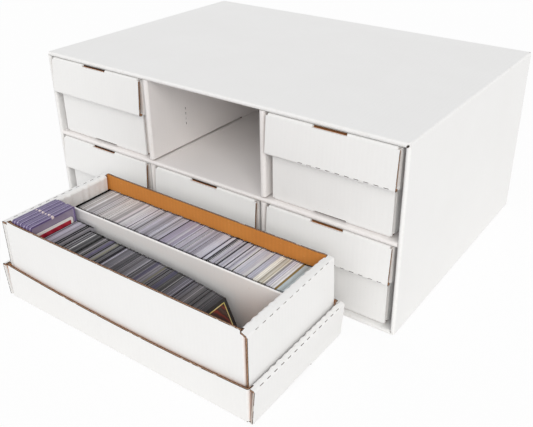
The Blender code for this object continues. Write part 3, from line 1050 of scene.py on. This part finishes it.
frontRowSpec = {
    **rowSpec,
    "seed": 5,
    "lean": math.radians(24),
    "rise": 0.006,
    "dip": 0.0014,
    "groupChance": 0.28,
    "levels": (0.35, 2.1),
    "gapChance": 0.12,
    "film": (0.24, 0.235, 0.255),
    # the first mark is a painted shadow in the gap at the row's left end
    "marks": [(0, 0.007, (0.012, 0.012, 0.013)), (0.050, 0.056, (0.80, 0.80, 0.82)),
              (0.145, 0.151, (0.015, 0.014, 0.016)), (0.160, 0.184, (0.20, 0.18, 0.28)),
              (0.203, 0.217, (0.38, 0.37, 0.30)), (0.227, 0.236, (0.02, 0.02, 0.022)),
              (0.254, 0.274, (0.035, 0.032, 0.04)), (0.500, 0.524, (0.16, 0.15, 0.215)),
              (0.560, 0.572, (0.24, 0.225, 0.15)), (0.630, 0.655, (0.135, 0.13, 0.19)),
              (0.700, 0.706, (0.40, 0.39, 0.40))],
    "tones": [(0, (0.28, 0.275, 0.29)), (0.055, (0.10, 0.10, 0.105)), (0.11, (0.14, 0.135, 0.14)),
              (0.15, (0.24, 0.235, 0.25)), (0.30, (0.29, 0.28, 0.32)),
              (0.39, (0.25, 0.24, 0.265)), (0.56, (0.18, 0.17, 0.19)), (0.68, (0.125, 0.12, 0.11)),
              (0.74, (0.13, 0.125, 0.16)), (0.84, (0.10, 0.095, 0.095)), (1, (0.08, 0.075, 0.08))],
}
wideRowSpec = {
    **rowSpec,
    "pitch": 0.0014,
    "seed": 3,
    "rise": 0.0012,
    "dip": 0.0006,
    "groupChance": 0.40,
    "levels": (0.7, 1.3),
    "gapChance": 0.14,
    "film": (0.50, 0.48, 0.54),
    "marks": [],
    "tones": [(0, (0.58, 0.55, 0.63)), (0.40, (0.54, 0.51, 0.59)), (0.52, (0.30, 0.29, 0.32)),
              (0.8, (0.34, 0.33, 0.35)), (1, (0.12, 0.115, 0.13))],
}


def toneAt(tones, share):
    for (low, first), (high, second) in zip(tones, tones[1:]):
        if share <= high:
            part = (share - low) / (high - low)
            return [between(a, b, part) for a, b in zip(first, second)]
    return list(tones[-1][1])


class CardRow:
    # Sleeved cards standing across a row, each a folded film with its card inside
    def __init__(self):
        self.mesh = bmesh.new()
        self.tint = self.mesh.faces.layers.float_color.new("cardTint")

    def paint(self, face, colour, film):
        face[self.tint] = (*colour, film)

    def add(self, foot, tilt, thickness, height, sides, card, film, spec=sleeveSpec):
        # foot is (x, z) of the left bottom corner; sides are the near and far Y
        across = Vector((math.cos(tilt), 0, math.sin(tilt)))
        up = Vector((-math.sin(tilt), 0, math.cos(tilt)))
        wall = spec["film"]
        inside = height - spec["mouth"]
        near, far = sides
        dropped = inside - spec["cornerDrop"]
        cuts = [(near, dropped), (near + spec["nearCorner"], inside), (far - spec["farCorner"], inside),
                (far, dropped)]
        loops = []
        for y, cardTop in cuts:
            origin = Vector((foot[0], y, foot[1]))
            profile = [(0, 0), (thickness, 0), (thickness, height), (thickness - wall, height),
                       (thickness - wall, cardTop), (wall, cardTop), (wall, height), (0, height)]
            loops.append([self.mesh.verts.new(origin + across * a + up * b) for a, b in profile])
        for section, (first, second) in enumerate(zip(loops, loops[1:])):
            for index in range(len(first)):
                onward = (index + 1) % len(first)
                face = self.mesh.faces.new([first[index], first[onward], second[onward], second[index]])
                isCard = index == spec["cardFace"]
                colour = card if isCard else film
                # the ends of each sleeve's mouth get a painted shade, beside the card's rounded corners
                if section != 1 and index in spec["mouthFaces"]:
                    colour = [value * spec["cornerShade"] for value in colour]
                self.paint(face, colour, 0 if isCard else 1)
        self.paint(self.mesh.faces.new(loops[0][::-1]), film, 1)
        self.paint(self.mesh.faces.new(loops[-1]), film, 1)

    def finished(self, name, material):
        bmesh.ops.recalc_face_normals(self.mesh, faces=self.mesh.faces)
        return meshOf(self.mesh, name, [material])


def cardRow(node, name, body, material, spec):
    low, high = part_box(node)
    dice = random.Random(spec["seed"])
    height = high.z - low.z
    start, end = low.x, high.x - spec["endPlay"]
    count = round((end - start) / spec["pitch"])

    def tiltAt(share):
        return spec["lean"] * share * share

    def topAt(index):
        share = index / count
        return between(start, end, share) - height * math.sin(tiltAt(share))

    row = CardRow()
    tone, dip = None, 0
    for index in range(count):
        share = index / count
        tilt = tiltAt(share)
        if tone is None or dice.random() < spec["groupChance"]:
            level = dice.uniform(*spec["levels"])
            tone = [value * level * dice.uniform(*rowLight["channels"])
                    for value in toneAt(spec["tones"], share)]
            dip = spec["dip"] * dice.random()
        light = shade = dice.uniform(*rowLight["shades"])
        chance = dice.random()
        # some cards get a painted shade in place of a shadowed gap between cards
        if chance < spec["gapChance"]:
            light = rowLight["gap"]
        elif chance > 1 - spec["lineChance"]:
            light = rowLight["line"]
        blend = [between(value, own, rowLight["fromCard"]) for value, own in zip(spec["film"], tone)]
        card, film = [[min(rowLight["brightest"], value * light) for value in colour]
                      for colour in (tone, blend)]
        for first, last, colour in spec["marks"]:
            if first <= share < last:
                card = film = [value * shade for value in colour]
        spacing = min(spec["pitch"], topAt(index + 1) - topAt(index)) * math.cos(tilt)
        own = height - spec["rise"] * share - dip - sleeveSpec["heightPlay"] * dice.random()
        drift = sleeveSpec["sidePlay"] * dice.random()
        sides = (low.y + drift, high.y - sleeveSpec["sidePlay"] + drift)
        foot = (between(start, end, share), low.z)
        row.add(foot, tilt, spacing * sleeveSpec["fill"], own, sides, card, film)
    placed(row.finished(name, material), name, node, body)


cardRow("rear_cards", "rearCards", "rear_row", sleeveFilm("rearFilm", 0.3), rearRowSpec)
cardRow("front_cards", "frontCards", "front_row", sleeveFilm("frontFilm", 0.3),
        frontRowSpec)
cardRow("wide_sleeves", "wideSleeves", "wide_stack", sleeveFilm("wideFilm", 0.35),
        wideRowSpec)
print("cards stacked")

violet = (0.105, 0.072, 0.20, 1)
lightViolet = (0.26, 0.205, 0.36, 1)
holderSpec = {
    "corner": 0.004,
    "chamfer": 0.0005,
    "frame": 0.0030,         # width of the raised rim round the window
    "recess": 0.0005,
    "parting": 0.0004,
    "dotRadius": 0.0023,
    "dotStart": 0.35,        # of the way from the middle to the right face
    "dotBelowTop": 0.0016,
    "dotProud": 0.0002,
    "dotTaper": 0.75,        # radius of its flat face beside its foot's
    "dotSides": 20,
    "windowSlope": 0.3,      # width of the slope down to the window beside the rim's
    "dips": (0.0012, 0, 0.0006, 0.0014, 0.0003, 0.0009),     # how much lower each one stands
    # two colours and the second one's share, in the order of the slots
    "skins": {
        "violetPlastic": (violet, lightViolet, 0.25),
        # the lighter rim plastic is a painted highlight on the window's slope and the outer chamfer
        "violetRimHighlight": (lightViolet, (0.66, 0.62, 0.82, 1), 0.4),
        "violetWindow": ((0.28, 0.235, 0.31, 1), lightViolet, 0.35),
        "violetCore": ((0.045, 0.030, 0.10, 1), violet, 0.3),
        "catchDot": ((0.74, 0.60, 0.60, 1), (0.9, 0.85, 0.85, 1), 0.5),
    },
}
cardSpec = {
    "leastCorner": 0.0006,
    "edgeAngle": math.radians(25),
}


def archedOutline(low, high, radius, inset=0):
    # The face of a holder or card in Y and Z, with rounded upper corners
    left, right, foot, top = low.y + inset, high.y - inset, low.z + inset, high.z - inset
    return withFolds([(right, foot), (right, top), (left, top), (left, foot)],
                     max(radius - inset, cardSpec["leastCorner"]))


def stations(mesh, rings, sideMaterials, capMaterials):
    # Skins a row of outlines, each given with its X, and closes both ends
    loops = [[mesh.verts.new((x, point.x, point.y)) for point in outline] for x, outline in rings]
    for near, far, material in zip(loops, loops[1:], sideMaterials):
        for index in range(len(near)):
            onward = (index + 1) % len(near)
            mesh.faces.new([near[index], near[onward], far[onward], far[index]]).material_index = material
    mesh.faces.new(loops[0][::-1]).material_index = capMaterials[0]
    mesh.faces.new(loops[-1]).material_index = capMaterials[1]


def closedSolid(mesh, name, materials):
    bmesh.ops.recalc_face_normals(mesh, faces=mesh.faces)
    data = meshOf(mesh, name, materials)
    smoothed(data, cardSpec["edgeAngle"])
    return data


def framedRings(low, high, spec):
    # Outlines of a card from face to face, each face with a border round a sunk field
    full = archedOutline(low, high, spec["corner"])
    field = archedOutline(low, high, spec["fieldCorner"], spec["border"])
    start, end, sink = low.x, high.x, spec["sink"]
    return [(start + sink, field), (start, field), (start, full), (end, full), (end, field),
            (end - sink, field)]


def makeHolder(number, dip, spec, skins):
    body, rim, window, core, dot = range(len(skins))
    node = f"card_holder_{number}"
    low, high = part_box(node)
    high = high - Vector((0, 0, dip))
    mesh = bmesh.new()
    middle = (low.x + high.x) / 2
    full = archedOutline(low, high, spec["corner"])
    narrowed = archedOutline(low, high, spec["corner"], spec["chamfer"])
    windowed = archedOutline(low, high, spec["corner"], spec["frame"])
    inner = archedOutline(low, high, spec["corner"], (1 + spec["windowSlope"]) * spec["frame"])
    for face, direction in ((low.x, 1), (high.x, -1)):
        rings = [(face + direction * spec["recess"], inner), (face, windowed), (face, narrowed),
                 (face + direction * spec["chamfer"], full), (middle - direction * spec["parting"] / 2, full)]
        # the window's slope and the outer chamfer take the rim plastic with its painted highlight
        stations(mesh, rings, (rim, body, rim, body), (window, core))
    rings = [(middle + side * spec["parting"], narrowed) for side in (-1, 1)]
    stations(mesh, rings, (core,), (core, core))
    centre = Vector((middle, (low.y + high.y) / 2, high.z - spec["dotBelowTop"]))
    turns = [2 * math.pi * step / spec["dotSides"] for step in range(spec["dotSides"])]
    rings = []
    for reach, size in ((spec["dotStart"], 1), (1, 1), (1, spec["dotTaper"])):
        edge = (high.x - low.x) / 2 + (spec["dotProud"] if size < 1 else 0)
        radius = size * spec["dotRadius"]
        rings.append((centre.x + reach * edge, [
            Vector((centre.y + radius * math.cos(turn), centre.z + radius * math.sin(turn)))
            for turn in turns]))
    stations(mesh, rings, (dot, dot), (dot, dot))
    data = closedSolid(mesh, "holder", skins)
    placed(data, f"cardHolder{number}", node, f"holder_{number}")


def makeHolders(spec):
    skins = [tintedPlastic(name, *look) for name, look in spec["skins"].items()]
    for number, dip in enumerate(spec["dips"], 1):
        makeHolder(number, dip, spec, skins)


borderedSpec = {
    "corner": 0.003,
    "fieldCorner": 0.001,
    "border": 0.0036,
    "sink": 0.0001,
    "inkScales": (40, 300),
    "white": [(0, (0.80, 0.76, 0.73, 1)), (1, (0.88, 0.85, 0.82, 1))],
    "field": [(0, (0.26, 0.006, 0.020, 1)), (0.55, (0.42, 0.012, 0.035, 1)), (1, (0.50, 0.04, 0.055, 1))],
}


def makeBorderedCard(spec):
    low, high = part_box("bordered_card")
    mesh = bmesh.new()
    stations(mesh, framedRings(low, high, spec), (0, 0, 0, 0, 0), (1, 1))
    paperScale, fieldScale = spec["inkScales"]
    inks = [printedCard("whiteBorder", spec["white"], paperScale),
            printedCard("redField", spec["field"], fieldScale)]
    placed(closedSolid(mesh, "borderedCard", inks), "borderedCard", "bordered_card", "white_card")


leaningSpec = {
    "lean": math.radians(24),
    "thickness": 0.0012,
    "height": 0.092,
    "corner": 0.003,
    "fieldCorner": 0.0008,
    "border": 0.0048,
    "line": 0.0013,
    "sink": 0.00008,
    "inkScale": 150,
    "black": [(0, (0.010, 0.010, 0.012, 1)), (1, (0.022, 0.021, 0.023, 1))],
    "yellow": [(0, (0.16, 0.42, 0.12, 1)), (0.4, (0.80, 0.62, 0.16, 1)), (1, (0.86, 0.80, 0.44, 1))],
    "picture": [(0, (0.030, 0.012, 0.012, 1)), (0.40, (0.055, 0.022, 0.018, 1)),
                (0.55, (0.26, 0.030, 0.018, 1)), (0.70, (0.045, 0.024, 0.020, 1)),
                (1, (0.20, 0.10, 0.060, 1))],
}


def makeLeaningCard(spec):
    # Built upright at the origin, then leant over on its foot
    low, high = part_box("leaning_card")
    flatLow = Vector((0, 0, 0))
    flatHigh = Vector((spec["thickness"], high.y - low.y, spec["height"]))
    mesh = bmesh.new()
    line = archedOutline(flatLow, flatHigh, spec["fieldCorner"], spec["border"] + spec["line"])
    rings = [*framedRings(flatLow, flatHigh, spec), (spec["thickness"] - spec["sink"], line)]
    stations(mesh, rings, (0, 0, 0, 0, 0, 1), (0, 2))
    inks = [printedCard(name + "Ink", spec[name], spec["inkScale"])
            for name in ("black", "yellow", "picture")]
    foot = high.x - spec["thickness"] / math.cos(spec["lean"])
    placed(closedSolid(mesh, "leaningCard", inks), "leaningCard", "leaning_card", "last_card",
           (foot, low.y, low.z), (0, -spec["lean"], 0))


makeHolders(holderSpec)
makeBorderedCard(borderedSpec)
makeLeaningCard(leaningSpec)
print("holders and single cards made")

cameraSpec = {
    "imageWidth": 533,
    "imageHeight": 427,
    "focalPixels": 698.95,
    "centrePixel": (289.3488, 185.7289),
    "place": (0.609082, -0.891387, 0.594746),
    "pitch": math.radians(27.3816),
    "yaw": math.radians(34.386),
    "roll": math.radians(0.2269),
    "sensor": 36,
}


def addCamera(spec):
    data = bpy.data.cameras.new("viewpoint")
    width, height = spec["imageWidth"], spec["imageHeight"]
    data.sensor_width = spec["sensor"]
    data.lens = spec["focalPixels"] * spec["sensor"] / width
    data.shift_x = (width / 2 - spec["centrePixel"][0]) / width
    data.shift_y = (spec["centrePixel"][1] - height / 2) / width
    camera = added("viewpoint", data)
    turn = Matrix.Rotation(spec["yaw"], 4, "Z") @ Matrix.Rotation(math.pi / 2 - spec["pitch"], 4, "X")
    camera.matrix_world = Matrix.Translation(spec["place"]) @ turn @ Matrix.Rotation(spec["roll"], 4, "Z")
    bpy.context.scene.camera = camera


studioSpec = {
    "skyStrength": 0.70,
    "skyColour": (0.99, 1, 1.02, 1),
    "sunColour": (1, 0.975, 0.93),
    "sunStrength": 1.36,
    "sunFrom": (0.65, -0.71, 0.55),
    "sunSpread": math.radians(38),
    "floorSize": 6,
    "floorColour": (0.90, 0.90, 0.90, 1),
    "floorRoughness": 0.9,
    "floorGlow": 0.92,
}


def seenDirectly(finish):
    # 1 for rays from the camera, and for what gloss and clear plastic show
    rays = [finish.add("ShaderNodeLightPath", output=f"Is {kind} Ray") for kind in
            ("Camera", "Glossy", "Transmission")]
    return rays[0].sum("MAXIMUM", rays[0].sum("MAXIMUM", rays[0], rays[1]), rays[2])


def addStudio(spec):
    world = bpy.data.worlds.new("studio")
    bpy.context.scene.world = world
    sky = NodeTree(world)
    direct = seenDirectly(sky)
    strength = spec["skyStrength"] + direct * (1 - spec["skyStrength"])
    sky.put(sky.nodes["Background"].inputs["Strength"], strength)
    sky.put(sky.nodes["Background"].inputs["Color"], sky.mix(direct, spec["skyColour"], (1, 1, 1, 1)))

    data = bpy.data.lights.new("softKey", "SUN")
    data.energy = spec["sunStrength"]
    data.color = spec["sunColour"]
    data.angle = spec["sunSpread"]
    lamp = added("softKey", data)
    lamp.rotation_euler = Vector(spec["sunFrom"]).to_track_quat("Z", "Y").to_euler()

    floor = Finish("floor")
    floor.shade(spec["floorColour"], spec["floorRoughness"], 0, {"Specular IOR Level": 0})
    glow = floor.add("ShaderNodeEmission", None, {"Color": (1, 1, 1, 1), "Strength": 1})
    shown = floor.add("ShaderNodeMixShader", None, {
        0: seenDirectly(floor) * spec["floorGlow"], 1: Wire(floor, floor.shader.outputs[0]), 2: glow})
    floor.links.new(shown.socket, floor.nodes["Material Output"].inputs["Surface"])
    mesh = bpy.data.meshes.new("floor")
    half = spec["floorSize"] / 2
    corners = [(-half, -half, 0), (half, -half, 0), (half, half, 0), (-half, half, 0)]
    mesh.from_pydata(corners, [], [(0, 1, 2, 3)])
    mesh.materials.append(floor.material)
    ground = added("floor", mesh)
    ground.location.z = houseLow.z
    bpy.context.scene.view_settings.view_transform = "Standard"


addCamera(cameraSpec)
addStudio(studioSpec)
print("camera and studio set")
